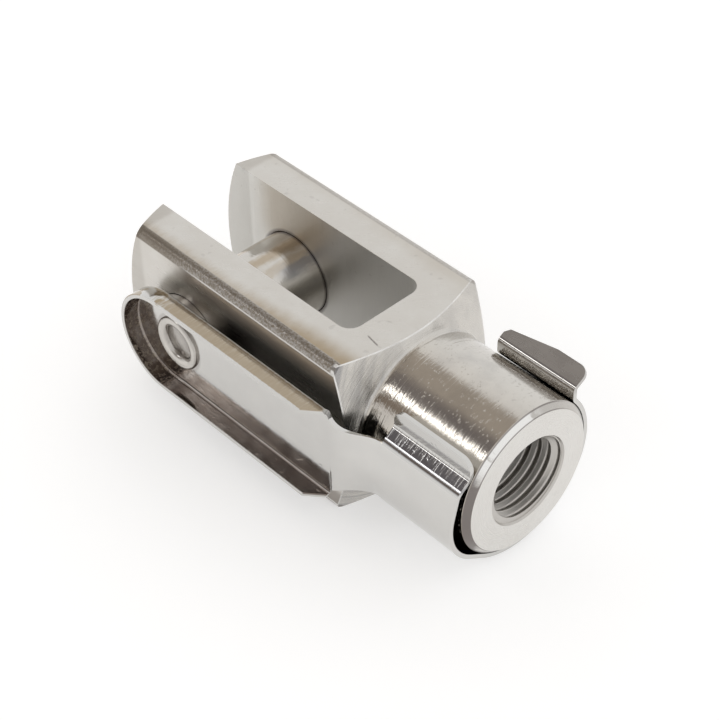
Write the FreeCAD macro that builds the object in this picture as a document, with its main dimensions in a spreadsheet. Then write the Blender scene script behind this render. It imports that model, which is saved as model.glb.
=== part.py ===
"""Rod clevis with a spring clip pin, size M10.

The pin axis is the Y axis and the rod axis is the X axis. The neck points along +X.
Lengths are in millimetres and angles in degrees.
"""

import FreeCAD
import Part
import Sketcher

import math
import os

SIZES = {
    # fork body
    "bar_side": 20.0,            # square bar, across flats
    "bar_edge_round": 1.0,       # rolled rounding of the four long edges
    "tip_reach": 12.0,           # pin axis to the tip of the ears
    "tip_dome_round": 25.0,      # turned dome over the ears
    "slot_width": 10.3,
    "slot_reach": 20.0,          # pin axis to the floor of the slot
    "slot_corner_round": 1.6,
    "shoulder_reach": 24.5,      # pin axis to the shoulder, at the middle of a flat
    "shoulder_slope": 26.0,      # shoulder cone, from the end plane
    "neck_diameter": 17.6,
    "neck_root_round": 0.6,
    "neck_reach": 40.0,          # pin axis to the end of the neck
    "neck_edge_break": 0.7,
    "bore_diameter": 8.75,       # core of the M10 x 1.25 thread
    "bore_mouth_diameter": 10.4,
    # clevis pin
    "pin_diameter": 10.0,
    "pin_play": 0.05,            # radial, in the cross holes
    "pin_overhang": 0.6,         # past the far ear
    "pin_edge_break": 0.8,
    "spigot_diameter": 5.0,
    "swage_diameter": 6.4,
    "swage_height": 0.4,
    "swage_round": 0.3,
    "swage_bowl_diameter": 3.8,
    "swage_bowl_depth": 0.8,
    # spring clip
    "sheet": 0.5,
    "ear_gap": 1.15,             # near ear to the channel floor
    "channel_width": 12.3,
    "channel_setback": 1.2,      # pin axis back to the centre of the round end
    "channel_reach": 23.75,      # pin axis to the end of the channel floor
    "channel_fold_round": 0.8,
    "flange_height": 2.45,
    "flange_end_slant": 2.35,    # how much shorter the rim is than the floor
    "channel_corner_cut": 0.5,   # run of the slanted corners at the end of the channel
    # narrow plate between channel and clasp
    "plate_root_width": 10.0,
    "plate_bend_run": 0.6,
    "plate_top": 3.6,
    "plate_bottom": 3.4,
    "plate_bend_width": 9.2,
    # clasp round the neck
    "clasp_start": 29.0,
    "clasp_width": 10.3,
    "clasp_play": 0.08,          # radial, to the neck
    "clasp_straight_angle": 35.0,
    "clasp_straight_run": 2.5,
    "clasp_side_round": 6.4,
    "clasp_side_lean": 14.0,
    "clasp_side_run": 2.4,
    "crease_round": 1.2,
    "crease_slope": 35.0,
    "lip_bend_round": 1.0,
    "lip_top": 7.3,
    "lip_corner_round": 1.3,
    "hug_end_angle": 38.0,
    "tab_root_round": 1.0,
    "tab_bend_start": 7.0,
    "tab_bend_round": 0.7,
    "tab_rise": 30.0,
    "tab_run": 2.1,
    "tab_rear_run": 1.2,
    "tab_rear_break": 0.5,
    "tab_taper_run": 8.0,        # length over which the tab widens from rear to front
    "tab_corner_round": 1.1,
}

MARGIN = 1.0          # how far a cut runs past the face it opens

doc = FreeCAD.newDocument("rod_clevis")

sheet = doc.addObject("Spreadsheet::Sheet", "sizes")
for row, (alias, value) in enumerate(SIZES.items(), start=1):
    sheet.set("A%d" % row, alias)
    sheet.set("B%d" % row, str(value))
    sheet.setAlias("B%d" % row, alias)
doc.recompute()


def size(alias):
    return float(sheet.get(alias))


def number(expression):
    return float(sheet.evalExpression(expression))


def new_body(label):
    body = doc.addObject("PartDesign::Body", label)
    body.Label = label
    return body


def new_sketch(body, name, plane, offset=None):
    """Empty sketch on one of the body's origin planes, moved along the plane's normal."""
    sketch = body.newObject("Sketcher::SketchObject", name)
    support = [item for item in body.Origin.OriginFeatures if item.Role == plane][0]
    sketch.AttachmentSupport = [(support, "")]
    sketch.MapMode = "FlatFace"
    if offset is not None:
        sketch.setExpression("AttachmentOffset.Base.z", offset)
    return sketch


def bind(sketch, kind, *arguments):
    """Adds a constraint whose last argument is an expression, and binds it."""
    expression = arguments[-1]
    value = number(expression)
    index = sketch.addConstraint(Sketcher.Constraint(kind, *arguments[:-1], value))
    sketch.setExpression("Constraints[%d]" % index, expression)


def bind_angle(sketch, *arguments):
    expression = arguments[-1]
    value = math.radians(number(expression))
    index = sketch.addConstraint(Sketcher.Constraint("Angle", *arguments[:-1], value))
    sketch.setExpression("Constraints[%d]" % index, "(%s) * 1 deg" % expression)


def pin_down(sketch, geometry, end, across, up):
    """Fixes one end of a geometry at a place given by two expressions."""
    if across == "0":
        sketch.addConstraint(Sketcher.Constraint("PointOnObject", geometry, end, -2))
    else:
        bind(sketch, "DistanceX", -1, 1, geometry, end, across)
    if up == "0":
        sketch.addConstraint(Sketcher.Constraint("PointOnObject", geometry, end, -1))
    else:
        bind(sketch, "DistanceY", -1, 1, geometry, end, up)


def line_between(sketch, start, end):
    a = FreeCAD.Vector(start[0], start[1], 0)
    b = FreeCAD.Vector(end[0], end[1], 0)
    return sketch.addGeometry(Part.LineSegment(a, b), False)


def arc_between(sketch, centre, radius, first, last):
    """Arc from angle first to angle last, both in degrees, anticlockwise."""
    middle = FreeCAD.Vector(centre[0], centre[1], 0)
    circle = Part.Circle(middle, FreeCAD.Vector(0, 0, 1), radius)
    arc = Part.ArcOfCircle(circle, math.radians(first), math.radians(last))
    return sketch.addGeometry(arc, False)


def join(sketch, *ends):
    sketch.addConstraint(Sketcher.Constraint("Coincident", *ends))


def tangent(sketch, *ends):
    sketch.addConstraint(Sketcher.Constraint("Tangent", *ends))


def polygon(sketch, corners):
    """Closed outline of straight lines through corners given as pairs of expressions."""
    places = [(number(across), number(up)) for across, up in corners]
    count = len(corners)
    lines = [
        line_between(sketch, places[i], places[(i + 1) % count])
        for i in range(count)
    ]
    for i in range(count):
        join(sketch, lines[i], 2, lines[(i + 1) % count], 1)
    for i, (across, up) in enumerate(corners):
        pin_down(sketch, lines[i], 1, across, up)


def finish_feature(feature, grows):
    """Recomputes and makes sure that the feature really added or removed material."""
    doc.recompute()
    before = feature.BaseFeature.Shape.Volume if feature.BaseFeature else 0.0
    change = feature.Shape.Volume - before
    if grows and change <= 0 or not grows and change >= 0:
        raise RuntimeError("%s changed the volume the wrong way" % feature.Name)
    return feature


def pad(body, name, sketch, length):
    feature = body.newObject("PartDesign::Pad", name)
    feature.Profile = sketch
    feature.setExpression("Length", length)
    return finish_feature(feature, True)


def pocket(body, name, sketch, length, both_ways=False):
    feature = body.newObject("PartDesign::Pocket", name)
    feature.Profile = sketch
    feature.SideType = "Symmetric" if both_ways else "One side"
    feature.setExpression("Length", length)
    return finish_feature(feature, False)


def turn(body, name, sketch, axis, grows):
    kind = "PartDesign::Revolution" if grows else "PartDesign::Groove"
    feature = body.newObject(kind, name)
    feature.Profile = sketch
    feature.ReferenceAxis = (sketch, [axis])
    feature.Angle = 360.0
    return finish_feature(feature, grows)


def edges_of(feature, wanted):
    return [
        "Edge%d" % (i + 1)
        for i, edge in enumerate(feature.Shape.Edges)
        if not edge.Degenerated and wanted(edge)
    ]


def round_edges(body, name, feature, wanted, radius):
    fillet = body.newObject("PartDesign::Fillet", name)
    names = edges_of(feature, wanted)
    if not names:
        raise RuntimeError("%s found no edge" % name)
    fillet.Base = (feature, names)
    fillet.setExpression("Radius", radius)
    doc.recompute()
    return fillet


def near(a, b):
    return abs(a - b) < 0.001


def runs_along(edge, direction):
    """True for a straight edge parallel to the direction."""
    if not isinstance(edge.Curve, Part.Line):
        return False
    return near(abs(edge.Curve.Direction.dot(direction)), 1.0)


ALONG_X = FreeCAD.Vector(1, 0, 0)
ALONG_Y = FreeCAD.Vector(0, 1, 0)
ALONG_Z = FreeCAD.Vector(0, 0, 1)


# Fork body: a length of square bar, turned at both ends, then slotted and drilled.

fork = new_body("fork_body")

HALF_BAR = "sizes.bar_side / 2"
CUT_RADIUS = "sizes.bar_side * sqrt(2) / 2 + %s" % MARGIN

bar_section = new_sketch(fork, "bar_section", "YZ_Plane", "-sizes.tip_reach")
polygon(bar_section, [
    ("-" + HALF_BAR, "-" + HALF_BAR),
    (HALF_BAR, "-" + HALF_BAR),
    (HALF_BAR, HALF_BAR),
    ("-" + HALF_BAR, HALF_BAR),
])
bar = pad(fork, "bar", bar_section, "sizes.tip_reach + sizes.neck_reach")
rounded_bar = round_edges(
    fork, "rolled_edges", bar,
    lambda edge: runs_along(edge, ALONG_X),
    "sizes.bar_edge_round",
)

# The dome: an arc centred on the rod axis, cut away on its outer side.
dome_sketch = new_sketch(fork, "tip_dome_outline", "XY_Plane")
tip = -size("tip_reach")
dome_round = size("tip_dome_round")
cut_radius = number(CUT_RADIUS)
dome_centre = tip + dome_round
dome_angle = math.degrees(math.asin(cut_radius / dome_round))
rim_across = dome_centre - dome_round * math.cos(math.radians(dome_angle))
dome = arc_between(dome_sketch, (dome_centre, 0), dome_round, 180 - dome_angle, 180)
dome_top = line_between(dome_sketch, (rim_across, cut_radius), (tip - MARGIN, cut_radius))
dome_side = line_between(dome_sketch, (tip - MARGIN, cut_radius), (tip - MARGIN, 0))
dome_axis = line_between(dome_sketch, (tip - MARGIN, 0), (tip, 0))
join(dome_sketch, dome, 1, dome_top, 1)
join(dome_sketch, dome_top, 2, dome_side, 1)
join(dome_sketch, dome_side, 2, dome_axis, 1)
join(dome_sketch, dome_axis, 2, dome, 2)
dome_sketch.addConstraint(Sketcher.Constraint("PointOnObject", dome, 3, -1))
bind(dome_sketch, "Radius", dome, "sizes.tip_dome_round")
pin_down(dome_sketch, dome_axis, 2, "-sizes.tip_reach", "0")
pin_down(dome_sketch, dome_axis, 1, "-sizes.tip_reach - %s" % MARGIN, "0")
pin_down(dome_sketch, dome_top, 2, "-sizes.tip_reach - %s" % MARGIN, CUT_RADIUS)
bind(dome_sketch, "DistanceY", -1, 1, dome, 1, CUT_RADIUS)
turn(fork, "tip_dome", dome_sketch, "H_Axis", False)

# The shoulder cone and the neck, turned in one cut.
NECK_RADIUS = "sizes.neck_diameter / 2"
ROOT_ACROSS = (
    "sizes.shoulder_reach"
    " + (sizes.bar_side - sizes.neck_diameter) / 2 * tan(sizes.shoulder_slope * 1 deg)"
)
OUTER_ACROSS = (
    "sizes.shoulder_reach"
    " - (%s - sizes.bar_side / 2) * tan(sizes.shoulder_slope * 1 deg)" % CUT_RADIUS
)
neck_sketch = new_sketch(fork, "neck_outline", "XY_Plane")
polygon(neck_sketch, [
    (OUTER_ACROSS, CUT_RADIUS),
    (ROOT_ACROSS, NECK_RADIUS),
    ("sizes.neck_reach - sizes.neck_edge_break", NECK_RADIUS),
    ("sizes.neck_reach", NECK_RADIUS + " - sizes.neck_edge_break"),
    ("sizes.neck_reach + %s" % MARGIN, NECK_RADIUS + " - sizes.neck_edge_break"),
    ("sizes.neck_reach + %s" % MARGIN, CUT_RADIUS),
])
neck = turn(fork, "neck", neck_sketch, "H_Axis", False)
root_across = number(ROOT_ACROSS)
round_edges(
    fork, "neck_root", neck,
    lambda edge: (
        isinstance(edge.Curve, Part.Circle)
        and near(edge.BoundBox.XMin, root_across)
        and near(edge.BoundBox.XMax, root_across)
    ),
    "sizes.neck_root_round",
)

slot_sketch = new_sketch(fork, "slot_outline", "XY_Plane")
polygon(slot_sketch, [
    ("-sizes.tip_reach - %s" % MARGIN, "-sizes.slot_width / 2"),
    ("sizes.slot_reach", "-sizes.slot_width / 2"),
    ("sizes.slot_reach", "sizes.slot_width / 2"),
    ("-sizes.tip_reach - %s" % MARGIN, "sizes.slot_width / 2"),
])
slot = pocket(fork, "slot", slot_sketch, "sizes.bar_side + %s" % MARGIN, True)
slot_reach = size("slot_reach")
rounded_slot = round_edges(
    fork, "slot_corners", slot,
    lambda edge: runs_along(edge, ALONG_Z) and near(edge.BoundBox.XMax, slot_reach),
    "sizes.slot_corner_round",
)

HOLE_RADIUS = "sizes.pin_diameter / 2 + sizes.pin_play"
hole_sketch = new_sketch(fork, "cross_hole_outline", "XZ_Plane")
hole_circle = hole_sketch.addGeometry(
    Part.Circle(FreeCAD.Vector(0, 0, 0), ALONG_Z, number(HOLE_RADIUS)), False)
join(hole_sketch, hole_circle, 3, -1, 1)
bind(hole_sketch, "Radius", hole_circle, HOLE_RADIUS)
pocket(fork, "cross_hole", hole_sketch, "sizes.bar_side + %s" % MARGIN, True)

# The core of the threaded bore, with a countersink at each end.
BORE_RADIUS = "sizes.bore_diameter / 2"
MOUTH_RADIUS = "sizes.bore_mouth_diameter / 2"
MOUTH_DEPTH = "(sizes.bore_mouth_diameter - sizes.bore_diameter) / 2"
bore_sketch = new_sketch(fork, "bore_outline", "XY_Plane")
polygon(bore_sketch, [
    ("sizes.slot_reach", "0"),
    ("sizes.slot_reach", MOUTH_RADIUS),
    ("sizes.slot_reach + " + MOUTH_DEPTH, BORE_RADIUS),
    ("sizes.neck_reach - " + MOUTH_DEPTH, BORE_RADIUS),
    ("sizes.neck_reach", MOUTH_RADIUS),
    ("sizes.neck_reach", "0"),
])
turn(fork, "bore", bore_sketch, "H_Axis", False)


# Clevis pin: turned about the Y axis, with a spigot swaged over the clip's floor.

pin = new_body("clevis_pin")

PIN_RADIUS = "sizes.pin_diameter / 2"
FAR_END = "sizes.bar_side / 2 + sizes.pin_overhang"
FLOOR_NEAR = "sizes.bar_side / 2 + sizes.ear_gap"
FLOOR_FAR = FLOOR_NEAR + " + sizes.sheet"
SWAGE_FACE = FLOOR_FAR + " + sizes.swage_height"
BOWL_FLOOR = SWAGE_FACE + " - sizes.swage_bowl_depth"

pin_sketch = new_sketch(pin, "pin_outline", "XY_Plane")
polygon(pin_sketch, [
    ("0", FAR_END),
    (PIN_RADIUS + " - sizes.pin_edge_break", FAR_END),
    (PIN_RADIUS, FAR_END + " - sizes.pin_edge_break"),
    (PIN_RADIUS, "-(%s)" % FLOOR_NEAR),
    ("sizes.spigot_diameter / 2", "-(%s)" % FLOOR_NEAR),
    ("sizes.spigot_diameter / 2", "-(%s)" % FLOOR_FAR),
    ("sizes.swage_diameter / 2", "-(%s)" % FLOOR_FAR),
    ("sizes.swage_diameter / 2", "-(%s)" % SWAGE_FACE),
    ("sizes.swage_bowl_diameter / 2", "-(%s)" % SWAGE_FACE),
    ("sizes.swage_bowl_diameter / 2", "-(%s)" % BOWL_FLOOR),
    ("0", "-(%s)" % BOWL_FLOOR),
])
turned_pin = turn(pin, "turned_pin", pin_sketch, "V_Axis", True)
swage_face = -number(SWAGE_FACE)
round_edges(
    pin, "swage_rim", turned_pin,
    lambda edge: (
        near(edge.BoundBox.YMax, swage_face)
        and near(edge.BoundBox.XMax, size("swage_diameter") / 2)
    ),
    "sizes.swage_round",
)


# Spring clip: channel, narrow plate and clasp, all of one sheet.

clip = new_body("spring_clip")

HALF_CHANNEL = "sizes.channel_width / 2"


def round_ended_outline(sketch, half_width, reach):
    """Outline with a half-round end about the channel's end centre, in the XZ plane."""
    centre = -size("channel_setback")
    radius = number(half_width)
    end = number(reach)
    arc = arc_between(sketch, (centre, 0), radius, 90, 270)
    lower = line_between(sketch, (centre, -radius), (end, -radius))
    cap = line_between(sketch, (end, -radius), (end, radius))
    upper = line_between(sketch, (end, radius), (centre, radius))
    tangent(sketch, arc, 2, lower, 1)
    join(sketch, lower, 2, cap, 1)
    join(sketch, cap, 2, upper, 1)
    tangent(sketch, upper, 2, arc, 1)
    sketch.addConstraint(Sketcher.Constraint("Horizontal", lower))
    sketch.addConstraint(Sketcher.Constraint("Horizontal", upper))
    sketch.addConstraint(Sketcher.Constraint("Vertical", cap))
    pin_down(sketch, arc, 3, "-sizes.channel_setback", "0")
    bind(sketch, "Radius", arc, half_width)
    bind(sketch, "DistanceX", -1, 1, lower, 2, reach)


channel_sketch = new_sketch(clip, "channel_outline", "XZ_Plane", FLOOR_NEAR)
round_ended_outline(channel_sketch, HALF_CHANNEL, "sizes.channel_reach")
channel_block = pad(clip, "channel_block", channel_sketch, "sizes.flange_height")

floor_near = -number(FLOOR_NEAR)
channel_reach = size("channel_reach")
outer_folds = round_edges(
    clip, "outer_folds", channel_block,
    lambda edge: (
        near(edge.BoundBox.YMin, floor_near)
        and near(edge.BoundBox.YMax, floor_near)
        and edge.BoundBox.XMin < channel_reach - MARGIN
    ),
    "sizes.channel_fold_round",
)

RIM = FLOOR_NEAR + " + sizes.flange_height"
hollow_sketch = new_sketch(clip, "channel_hollow_outline", "XZ_Plane", RIM)
round_ended_outline(
    hollow_sketch, HALF_CHANNEL + " - sizes.sheet", "sizes.channel_reach + %s" % MARGIN)
hollow = pocket(clip, "channel_hollow", hollow_sketch, "sizes.flange_height - sizes.sheet")

floor_far = -number(FLOOR_FAR)
inner_folds = round_edges(
    clip, "inner_folds", hollow,
    lambda edge: (
        near(edge.BoundBox.YMin, floor_far)
        and near(edge.BoundBox.YMax, floor_far)
        and edge.BoundBox.XMin < channel_reach - MARGIN
    ),
    "sizes.channel_fold_round - sizes.sheet",
)

RIM_REACH = "sizes.channel_reach - sizes.flange_end_slant"
flange_sketch = new_sketch(clip, "flange_end_outline", "XY_Plane")
polygon(flange_sketch, [
    (RIM_REACH, "-(%s)" % RIM),
    ("sizes.channel_reach", "-(%s)" % FLOOR_FAR),
    ("sizes.channel_reach + %s" % MARGIN, "-(%s)" % FLOOR_FAR),
    ("sizes.channel_reach + %s" % MARGIN, "-(%s) - %s" % (RIM, MARGIN)),
    (RIM_REACH, "-(%s) - %s" % (RIM, MARGIN)),
])
pocket(clip, "flange_ends", flange_sketch, "sizes.channel_width + %s" % MARGIN, True)

# The two corners of the channel end are cut on a slant, down to the root of the narrow plate.
CORNER_START = "sizes.channel_reach - sizes.channel_corner_cut"
corner_sketch = new_sketch(clip, "channel_corner_outlines", "XZ_Plane", RIM)
for side in ("", "-"):
    polygon(corner_sketch, [
        (CORNER_START, "%s(%s)" % (side, HALF_CHANNEL)),
        (CORNER_START, "%s(%s + %s)" % (side, HALF_CHANNEL, MARGIN)),
        ("sizes.channel_reach + %s" % MARGIN, "%s(%s + %s)" % (side, HALF_CHANNEL, MARGIN)),
        ("sizes.channel_reach + %s" % MARGIN, side + "sizes.plate_root_width / 2"),
        ("sizes.channel_reach", side + "sizes.plate_root_width / 2"),
    ])
pocket(clip, "channel_corners", corner_sketch, "sizes.flange_height")

spigot_sketch = new_sketch(clip, "spigot_hole_outline", "XZ_Plane", FLOOR_FAR)
spigot_circle = spigot_sketch.addGeometry(
    Part.Circle(FreeCAD.Vector(0, 0, 0), ALONG_Z, size("spigot_diameter") / 2), False)
join(spigot_sketch, spigot_circle, 3, -1, 1)
bind(spigot_sketch, "Radius", spigot_circle, "sizes.spigot_diameter / 2")
pocket(clip, "spigot_hole", spigot_sketch, "sizes.sheet")


class Walk:
    """Walks along a chain of straight runs and tangent bends and draws it in a sketch.

    Places are (y, z) pairs and the heading is in degrees from +Y towards +Z.
    A bend to the left is anticlockwise.
    """

    def __init__(self, sketch, place, heading):
        self.sketch = sketch
        self.place = place
        self.heading = heading
        self.drawn = []
        self.centres = []

    def left(self):
        angle = math.radians(self.heading)
        return -math.sin(angle), math.cos(angle)

    def run(self, length):
        angle = math.radians(self.heading)
        end = (
            self.place[0] + length * math.cos(angle),
            self.place[1] + length * math.sin(angle),
        )
        self.drawn.append((line_between(self.sketch, self.place, end), 1, 2))
        self.place = end
        return self.drawn[-1]

    def bend(self, radius, turn_angle):
        """Bends left for a positive angle and right for a negative one."""
        side = 1 if turn_angle > 0 else -1
        left = self.left()
        centre = (
            self.place[0] + side * radius * left[0],
            self.place[1] + side * radius * left[1],
        )
        first = self.heading - side * 90
        last = first + turn_angle
        if turn_angle > 0:
            drawn = (arc_between(self.sketch, centre, radius, first, last), 1, 2)
        else:
            drawn = (arc_between(self.sketch, centre, radius, last, first), 2, 1)
        self.place = (
            centre[0] + radius * math.cos(math.radians(last)),
            centre[1] + radius * math.sin(math.radians(last)),
        )
        self.heading += turn_angle
        self.drawn.append(drawn)
        self.centres.append(centre)
        return drawn


def tie(sketch, first, second):
    """Joins the end of one drawn piece to the start of the next, tangent."""
    tangent(sketch, first[0], first[2], second[0], second[1])


# The spine of the clasp is its face towards the neck, seen along the rod axis.
HUG_RADIUS = NECK_RADIUS + " + sizes.clasp_play"
hug_radius = number(HUG_RADIUS)
straight_angle = size("clasp_straight_angle")
hug_end = size("hug_end_angle")
side_lean = size("clasp_side_lean")
crease_slope = size("crease_slope")
tab_rise = size("tab_rise")
lip_bend_round = size("lip_bend_round")

spine = new_sketch(clip, "clasp_spine", "YZ_Plane")

# Near side: from the neck's underside out, up and over the crease to the lip.
hug_start = 270 - straight_angle
start_place = (
    hug_radius * math.cos(math.radians(hug_start)),
    hug_radius * math.sin(math.radians(hug_start)),
)
near_side = Walk(spine, start_place, 180 - straight_angle)
straight = near_side.run(size("clasp_straight_run"))
side_bend = near_side.bend(size("clasp_side_round"), straight_angle - side_lean - 90)
side_centre = near_side.centres[-1]
side_run = near_side.run(size("clasp_side_run"))
crease = near_side.bend(size("crease_round"), crease_slope - (90 - side_lean))
crease_centre = near_side.centres[-1]

# The slope is as long as it takes for the lip bend to touch the neck.
slope_left = near_side.left()
slope_angle = math.radians(near_side.heading)
slope_ahead = (math.cos(slope_angle), math.sin(slope_angle))
bend_from = (
    near_side.place[0] + lip_bend_round * slope_left[0],
    near_side.place[1] + lip_bend_round * slope_left[1],
)
half_b = bend_from[0] * slope_ahead[0] + bend_from[1] * slope_ahead[1]
excess = bend_from[0] ** 2 + bend_from[1] ** 2 - (hug_radius + lip_bend_round) ** 2
slope_length = -half_b - math.sqrt(half_b ** 2 - excess)
slope = near_side.run(slope_length)
lip_bend = near_side.bend(lip_bend_round, 90 - crease_slope)
lip = near_side.run(size("lip_top") - near_side.place[1])
lip_place = near_side.place

# Far side: round the neck, then up to the ridge and out along the thumb tab.
far_side = Walk(spine, start_place, 360 - straight_angle)
hug = far_side.bend(hug_radius, hug_end + 360 - hug_start)
tab_root = far_side.bend(size("tab_root_round"), -hug_end)
upright = far_side.run(size("tab_bend_start") - far_side.place[1])
tab_bend = far_side.bend(size("tab_bend_round"), tab_rise - 90)
tab = far_side.run(size("tab_run"))

near_chain = [straight, side_bend, side_run, crease, slope, lip_bend, lip]
for first, second in zip(near_chain, near_chain[1:]):
    tie(spine, first, second)
far_chain = [hug, tab_root, upright, tab_bend, tab]
for first, second in zip(far_chain, far_chain[1:]):
    tie(spine, first, second)
tangent(spine, straight[0], 1, hug[0], 1)

join(spine, hug[0], 3, -1, 1)
bind(spine, "Radius", hug[0], HUG_RADIUS)
for arc, radius in [
    (side_bend, "sizes.clasp_side_round"),
    (crease, "sizes.crease_round"),
    (lip_bend, "sizes.lip_bend_round"),
    (tab_root, "sizes.tab_root_round"),
    (tab_bend, "sizes.tab_bend_round"),
]:
    bind(spine, "Radius", arc[0], radius)
for line, length in [
    (straight, "sizes.clasp_straight_run"),
    (side_run, "sizes.clasp_side_run"),
    (tab, "sizes.tab_run"),
]:
    bind(spine, "Distance", line[0], 1, line[0], 2, length)
for line, heading in [
    (straight, "180 - sizes.clasp_straight_angle"),
    (side_run, "90 - sizes.clasp_side_lean"),
    (slope, "sizes.crease_slope"),
    (tab, "sizes.tab_rise"),
]:
    bind_angle(spine, line[0], heading)
spine.addConstraint(Sketcher.Constraint("Vertical", lip[0]))
spine.addConstraint(Sketcher.Constraint("Vertical", upright[0]))
bind(spine, "Distance", -1, 1, lip_bend[0], 3, HUG_RADIUS + " + sizes.lip_bend_round")
bind(spine, "DistanceY", -1, 1, lip[0], 2, "sizes.lip_top")
bind(spine, "DistanceY", -1, 1, upright[0], 2, "sizes.tab_bend_start")
hug_end_place = (
    hug_radius * math.cos(math.radians(hug_end)),
    hug_radius * math.sin(math.radians(hug_end)),
)
hug_end_line = spine.addGeometry(
    Part.LineSegment(
        FreeCAD.Vector(0, 0, 0),
        FreeCAD.Vector(hug_end_place[0], hug_end_place[1], 0),
    ),
    True,
)
join(spine, hug_end_line, 1, -1, 1)
join(spine, hug_end_line, 2, hug[0], 2)
bind_angle(spine, hug_end_line, "sizes.hug_end_angle")
doc.recompute()

# The clasp itself: one strip of sheet swept down the spine from the top of the lip.
strip = new_sketch(clip, "clasp_strip", "XY_Plane", "sizes.lip_top")
lip_names = edges_of(
    spine,
    lambda edge: runs_along(edge, ALONG_Z) and near(edge.BoundBox.ZMax, size("lip_top")),
)
strip.addExternal(spine.Name, lip_names[0])
clasp_start = size("clasp_start")
clasp_end = clasp_start + size("clasp_width")
lip_face = lip_place[0]
lip_back = lip_face - size("sheet")
strip_corners = [
    (clasp_start, lip_face),
    (clasp_start, lip_back),
    (clasp_end, lip_back),
    (clasp_end, lip_face),
]
strip_lines = [
    line_between(strip, strip_corners[i], strip_corners[(i + 1) % 4])
    for i in range(4)
]
for i in range(4):
    join(strip, strip_lines[i], 2, strip_lines[(i + 1) % 4], 1)
for i in (0, 2):
    strip.addConstraint(Sketcher.Constraint("Vertical", strip_lines[i]))
for i in (1, 3):
    strip.addConstraint(Sketcher.Constraint("Horizontal", strip_lines[i]))
strip.addConstraint(Sketcher.Constraint("PointOnObject", -3, 1, strip_lines[3]))
bind(strip, "DistanceX", -1, 1, strip_lines[0], 1, "sizes.clasp_start")
bind(strip, "DistanceX", strip_lines[1], 1, strip_lines[1], 2, "sizes.clasp_width")
bind(strip, "DistanceY", strip_lines[0], 2, strip_lines[0], 1, "sizes.sheet")
doc.recompute()
clasp = clip.newObject("PartDesign::AdditivePipe", "clasp")
clasp.Profile = strip
clasp.Spine = (spine, [])
doc.recompute()

# The narrow plate: lofted from the flat channel floor to the curved side of the clasp.
def flat_section(name, across, width):
    """Section of the flat sheet, with as many corners as the curved section."""
    section = new_sketch(clip, name, "YZ_Plane", across)
    near_face = "-(%s)" % FLOOR_NEAR
    far_face = "-(%s)" % FLOOR_FAR
    heights = ["-%s / 2" % width, "%s / 8" % width, "%s / 3" % width, "%s / 2" % width]
    polygon(
        section,
        [(near_face, height) for height in heights]
        + [(far_face, height) for height in reversed(heights)],
    )
    return section


def angle_at_height(centre, radius, height):
    """Angle on the near side of a circle where it reaches a height."""
    return 180 - math.degrees(math.asin((height - centre[1]) / radius))


def curved_section(name, across):
    """Section with the two faces of the clasp's side, between the plate's edges."""
    section = new_sketch(clip, name, "YZ_Plane", across)
    names = edges_of(
        spine,
        lambda edge: isinstance(edge.Curve, Part.Circle) and (
            near(edge.Curve.Radius, size("clasp_side_round"))
            or near(edge.Curve.Radius, size("crease_round"))
        ),
    )
    for edge_name in names:
        section.addExternal(spine.Name, edge_name)
    faces = []
    low = angle_at_height(side_centre, size("clasp_side_round"), -size("plate_bottom"))
    high = angle_at_height(crease_centre, size("crease_round"), size("plate_top"))
    turn_angle = 180 - side_lean
    for thickness in (0, size("sheet")):
        side_radius = size("clasp_side_round") + thickness
        crease_radius = size("crease_round") + thickness
        side_arc = arc_between(section, side_centre, side_radius, turn_angle, low)
        crease_arc = arc_between(section, crease_centre, crease_radius, high, turn_angle)
        start = (
            side_centre[0] + side_radius * math.cos(math.radians(turn_angle)),
            side_centre[1] + side_radius * math.sin(math.radians(turn_angle)),
        )
        end = (
            crease_centre[0] + crease_radius * math.cos(math.radians(turn_angle)),
            crease_centre[1] + crease_radius * math.sin(math.radians(turn_angle)),
        )
        straight_part = line_between(section, start, end)
        tangent(section, side_arc, 1, straight_part, 1)
        tangent(section, straight_part, 2, crease_arc, 2)
        join(section, side_arc, 3, -3, 3)
        join(section, crease_arc, 3, -4, 3)
        faces.append((side_arc, straight_part, crease_arc))
    inner, outer = faces
    section.addConstraint(Sketcher.Constraint("Equal", inner[0], -3))
    section.addConstraint(Sketcher.Constraint("Equal", inner[2], -4))
    bind(section, "Radius", outer[0], "sizes.clasp_side_round + sizes.sheet")
    bind(section, "Radius", outer[2], "sizes.crease_round + sizes.sheet")
    for inner_arc, outer_arc, end in [(inner[0], outer[0], 2), (inner[2], outer[2], 1)]:
        a = section.getPoint(inner_arc, end)
        b = section.getPoint(outer_arc, end)
        cap = line_between(section, (a.x, a.y), (b.x, b.y))
        join(section, inner_arc, end, cap, 1)
        join(section, cap, 2, outer_arc, end)
        section.addConstraint(Sketcher.Constraint("Perpendicular", cap, inner_arc))
    bind(section, "DistanceY", -1, 1, inner[0], 2, "-sizes.plate_bottom")
    bind(section, "DistanceY", -1, 1, inner[2], 1, "sizes.plate_top")
    return section


sections = [
    flat_section("plate_root", "sizes.channel_reach", "sizes.plate_root_width"),
    flat_section(
        "plate_first_bend", "sizes.channel_reach + sizes.plate_bend_run", "sizes.plate_bend_width"),
    curved_section("plate_second_bend", "sizes.clasp_start - sizes.plate_bend_run"),
    curved_section("plate_end", "sizes.clasp_start"),
]
doc.recompute()
plate = clip.newObject("PartDesign::AdditiveLoft", "plate")
plate.Profile = sections[0]
plate.Sections = sections[1:]
plate.Ruled = False
doc.recompute()

# The lip and the thumb tab, trimmed and rounded at their corners.
rounded_lip = round_edges(
    clip, "lip_corners", plate,
    lambda edge: runs_along(edge, ALONG_Y) and near(edge.BoundBox.ZMax, size("lip_top")),
    "sizes.lip_corner_round",
)

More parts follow.
